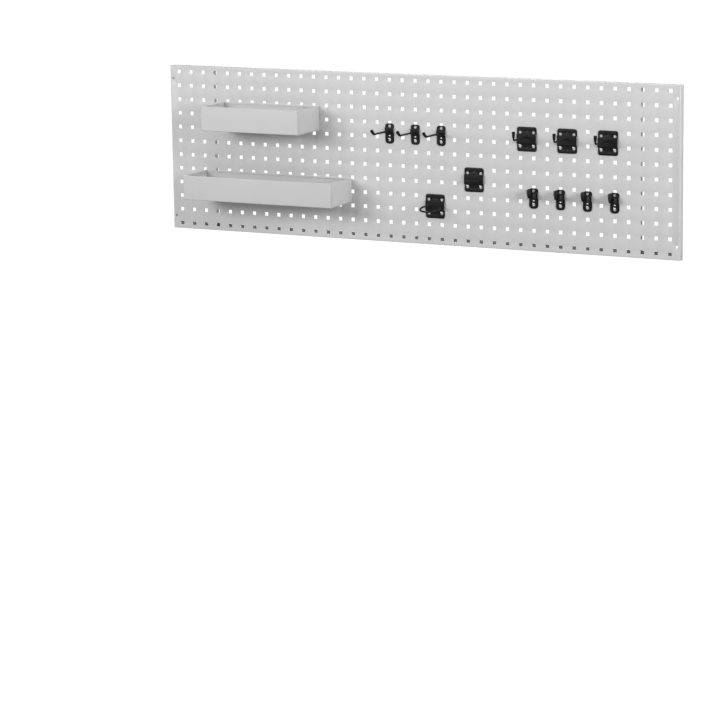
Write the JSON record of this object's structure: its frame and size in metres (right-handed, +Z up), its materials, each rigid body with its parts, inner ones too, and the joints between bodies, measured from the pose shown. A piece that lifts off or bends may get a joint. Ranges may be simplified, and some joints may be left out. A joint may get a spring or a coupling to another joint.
{
  "type": "pegboard with tool holders",
  "caption": "Wide perforated steel wall panel with square holes and a folded rim, with lift-off rod hooks, spring clips, a pliers loop, a ring holder and open sheet-metal trays.",
  "frame": {"origin": "centre of the panel's front face, which is also the centre of its four fixing holes", "axes": "+X to the right along the panel as seen from the front, +Y back into the wall, +Z up"},
  "size_m": [1.5, 0.1437, 0.45],
  "materials": {
    "panel_coat": "light grey powder coat with a fine, even texture, satin",
    "tray_coat": "light grey powder coat with a fine, even texture, satin",
    "holder_coat": "black powder coat, satin",
    "spring_coat": "blackened spring steel, satin",
    "cap_plastic": "black moulded soft plastic, matte",
    "rivet_metal": "blackened steel, satin"
  },
  "bodies": {
    "panel": {"perforated_panel": "panel_coat", "left_stiffener": "panel_coat", "right_stiffener": "panel_coat"},
    "slanted_hook_1": {"slanted_hook_1_plate": "holder_coat", "slanted_hook_1_rod": "holder_coat", "slanted_hook_1_cap": "cap_plastic"},
    "slanted_hook_2": {"slanted_hook_2_plate": "holder_coat", "slanted_hook_2_rod": "holder_coat", "slanted_hook_2_cap": "cap_plastic"},
    "slanted_hook_3": {"slanted_hook_3_plate": "holder_coat", "slanted_hook_3_rod": "holder_coat", "slanted_hook_3_cap": "cap_plastic"},
    "upright_hook_1": {"upright_hook_1_plate": "holder_coat", "upright_hook_1_rod": "holder_coat", "upright_hook_1_cap": "cap_plastic"},
    "upright_hook_2": {"upright_hook_2_plate": "holder_coat", "upright_hook_2_rod": "holder_coat", "upright_hook_2_cap": "cap_plastic"},
    "upright_hook_3": {"upright_hook_3_plate": "holder_coat", "upright_hook_3_rod": "holder_coat", "upright_hook_3_cap": "cap_plastic"},
    "pliers_holder": {"pliers_holder_plate": "holder_coat", "pliers_holder_loop": "holder_coat"},
    "ring_holder": {"ring_holder_plate": "holder_coat", "ring_holder_ring": "holder_coat"},
    "spring_clip_1": {"spring_clip_1_plate": "holder_coat", "spring_clip_1_spring": "spring_coat", "spring_clip_1_rivet": "rivet_metal"},
    "spring_clip_2": {"spring_clip_2_plate": "holder_coat", "spring_clip_2_spring": "spring_coat", "spring_clip_2_rivet": "rivet_metal"},
    "spring_clip_3": {"spring_clip_3_plate": "holder_coat", "spring_clip_3_spring": "spring_coat", "spring_clip_3_rivet": "rivet_metal"},
    "spring_clip_4": {"spring_clip_4_plate": "holder_coat", "spring_clip_4_spring": "spring_coat", "spring_clip_4_rivet": "rivet_metal"},
    "small_tray": {"small_tray_shell": "tray_coat", "small_tray_left_end": "tray_coat", "small_tray_right_end": "tray_coat"},
    "large_tray": {"large_tray_shell": "tray_coat", "large_tray_left_end": "tray_coat", "large_tray_right_end": "tray_coat"}
  },
  "joints": [
    {"name": "slanted_hook_1_lift", "type": "slide", "parent": "panel", "child": "slanted_hook_1", "axis": [0, 0, 1], "range_m": [0, 0.006]},
    {"name": "slanted_hook_2_lift", "type": "slide", "parent": "panel", "child": "slanted_hook_2", "axis": [0, 0, 1], "range_m": [0, 0.006]},
    {"name": "slanted_hook_3_lift", "type": "slide", "parent": "panel", "child": "slanted_hook_3", "axis": [0, 0, 1], "range_m": [0, 0.006]},
    {"name": "upright_hook_1_lift", "type": "slide", "parent": "panel", "child": "upright_hook_1", "axis": [0, 0, 1], "range_m": [0, 0.006]},
    {"name": "upright_hook_2_lift", "type": "slide", "parent": "panel", "child": "upright_hook_2", "axis": [0, 0, 1], "range_m": [0, 0.006]},
    {"name": "upright_hook_3_lift", "type": "slide", "parent": "panel", "child": "upright_hook_3", "axis": [0, 0, 1], "range_m": [0, 0.006]},
    {"name": "pliers_holder_lift", "type": "slide", "parent": "panel", "child": "pliers_holder", "axis": [0, 0, 1], "range_m": [0, 0.006]},
    {"name": "ring_holder_lift", "type": "slide", "parent": "panel", "child": "ring_holder", "axis": [0, 0, 1], "range_m": [0, 0.006]},
    {"name": "spring_clip_1_lift", "type": "slide", "parent": "panel", "child": "spring_clip_1", "axis": [0, 0, 1], "range_m": [0, 0.006]},
    {"name": "spring_clip_2_lift", "type": "slide", "parent": "panel", "child": "spring_clip_2", "axis": [0, 0, 1], "range_m": [0, 0.006]},
    {"name": "spring_clip_3_lift", "type": "slide", "parent": "panel", "child": "spring_clip_3", "axis": [0, 0, 1], "range_m": [0, 0.006]},
    {"name": "spring_clip_4_lift", "type": "slide", "parent": "panel", "child": "spring_clip_4", "axis": [0, 0, 1], "range_m": [0, 0.006]},
    {"name": "small_tray_lift", "type": "slide", "parent": "panel", "child": "small_tray", "axis": [0, 0, 1], "range_m": [0, 0.0078]},
    {"name": "large_tray_lift", "type": "slide", "parent": "panel", "child": "large_tray", "axis": [0, 0, 1], "range_m": [0, 0.0078]}
  ]
}
